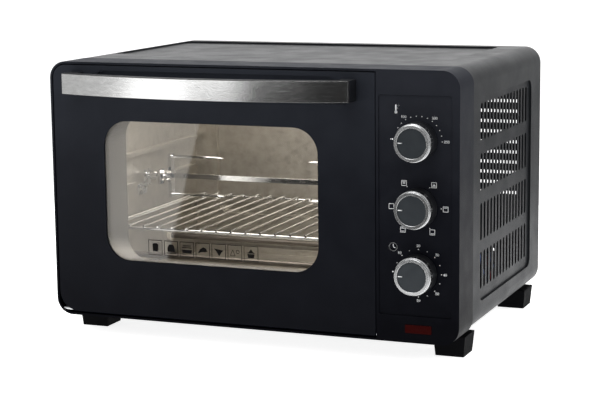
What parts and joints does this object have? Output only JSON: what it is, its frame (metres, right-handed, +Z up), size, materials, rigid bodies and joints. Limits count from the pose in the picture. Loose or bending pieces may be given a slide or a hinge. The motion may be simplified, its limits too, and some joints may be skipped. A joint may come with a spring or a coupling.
{
  "type": "rotisserie oven",
  "caption": "Countertop oven with a drop-down glass door and bowed handle, dials on a side panel, wire rack, heaters and a motor-driven spit with forks.",
  "frame": {"origin": "bottom centre of the whole oven's box, on the surface that the feet stand on", "axes": "+X to the right seen from the front, +Y from the door to the back, +Z up"},
  "size_m": [0.5, 0.41, 0.326],
  "materials": {
    "black_frame": "satin moulded",
    "black_body": "satin powder coat",
    "black_rubber": "matt",
    "galvanised": "galvanised sheet",
    "steel": "bright zinc plated",
    "chrome": "polished",
    "heater": "heat-tinted steel",
    "ceramic": "glazed ceramic",
    "knob_black": "satin",
    "knob_cap": "satin",
    "handle_steel": "brushed lengthwise",
    "glass": "clear toughened",
    "red_lens": "translucent red",
    "lamp": "neon lamp",
    "control_body": "phenolic and tin",
    "motor": "zinc plated"
  },
  "bodies": {
    "housing": {"front_frame": "black_frame", "face_plate": "black_body", "wrapper": "black_body", "base_plate": "black_body", "rear_panel": "black_body", "cord_gland": "black_rubber", "housing_screws": "steel", "cavity_left_wall": "galvanised", "cavity_right_wall": "galvanised", "cavity_top": "galvanised", "cavity_floor": "galvanised", "cavity_back": "galvanised", "compartment_wall": "galvanised", "foot_front_left": "black_rubber", "foot_front_right": "black_rubber", "foot_rear_left": "black_rubber", "foot_rear_right": "black_rubber", "top_heater_front": "heater", "top_heater_rear": "heater", "bottom_heater_front": "heater", "bottom_heater_rear": "heater", "heater_insulators": "ceramic", "crumb_tray": "galvanised", "spit_rest": "steel", "spit_motor": "motor", "thermostat": "control_body", "function_switch": "control_body", "timer": "motor", "timer_bell": "steel", "pilot_lens": "red_lens", "pilot_lamp": "lamp", "hinge_pins": "steel", "door_springs": "steel"},
    "door": {"door_panel": "black_body", "door_glass": "glass", "door_inner_panel": "galvanised", "door_stays": "steel", "handle_bar": "knob_black", "handle_plate": "handle_steel", "handle_screws": "steel"},
    "rack": {"wire_rack": "chrome"},
    "spit": {"spit_rod": "chrome", "spit_collar": "chrome", "drive_socket": "steel"},
    "left_fork": {"spit_fork_left": "chrome"},
    "right_fork": {"spit_fork_right": "chrome"},
    "left_fork_screw": {"fork_screw_left": "chrome"},
    "right_fork_screw": {"fork_screw_right": "chrome"},
    "temperature_dial": {"temperature_shaft": "steel", "temperature_knob": "knob_black", "temperature_knob_ring": "chrome", "temperature_knob_cap": "knob_cap"},
    "function_dial": {"function_shaft": "steel", "function_knob": "knob_black", "function_knob_ring": "chrome", "function_knob_cap": "knob_cap"},
    "timer_dial": {"timer_shaft": "steel", "timer_knob": "knob_black", "timer_knob_ring": "chrome", "timer_knob_cap": "knob_cap"}
  },
  "joints": [
    {"name": "door_hinge", "type": "hinge", "parent": "housing", "child": "door", "pos_m": [0, -0.152, 0.0303], "axis": [1, 0, 0], "range_deg": [0, 80], "stiffness_Nm_per_rad": 1, "springref_deg": -28.65},
    {"name": "rack_slide", "type": "slide", "parent": "housing", "child": "rack", "axis": [0, -1, 0], "range_m": [0, 0.1]},
    {"name": "spit_turn", "type": "hinge", "parent": "housing", "child": "spit", "pos_m": [0, 0.01, 0.171], "axis": [1, 0, 0], "continuous": true},
    {"name": "left_fork_slide", "type": "slide", "parent": "spit", "child": "left_fork", "axis": [1, 0, 0], "range_m": [0, 0.05]},
    {"name": "right_fork_slide", "type": "slide", "parent": "spit", "child": "right_fork", "axis": [-1, 0, 0], "range_m": [0, 0.05]},
    {"name": "left_fork_screw_turn", "type": "hinge", "parent": "left_fork", "child": "left_fork_screw", "pos_m": [-0.183, 0, 0.171], "axis": [0, 1, 0], "range_deg": [0, 180]},
    {"name": "right_fork_screw_turn", "type": "hinge", "parent": "right_fork", "child": "right_fork_screw", "pos_m": [0.088, 0, 0.171], "axis": [0, 1, 0], "range_deg": [0, 180]},
    {"name": "temperature_turn", "type": "hinge", "parent": "housing", "child": "temperature_dial", "pos_m": [0.203, -0.155, 0.249], "axis": [0, 1, 0], "range_deg": [0, 180]},
    {"name": "function_turn", "type": "hinge", "parent": "housing", "child": "function_dial", "pos_m": [0.203, -0.155, 0.176], "axis": [0, 1, 0], "range_deg": [0, 300]},
    {"name": "timer_turn", "type": "hinge", "parent": "housing", "child": "timer_dial", "pos_m": [0.203, -0.155, 0.103], "axis": [0, 1, 0], "range_deg": [0, 270]}
  ],
  "couplings": [
    {"joint": "rack_slide", "follows": "door_hinge", "m_per_rad": 0.07}
  ]
}
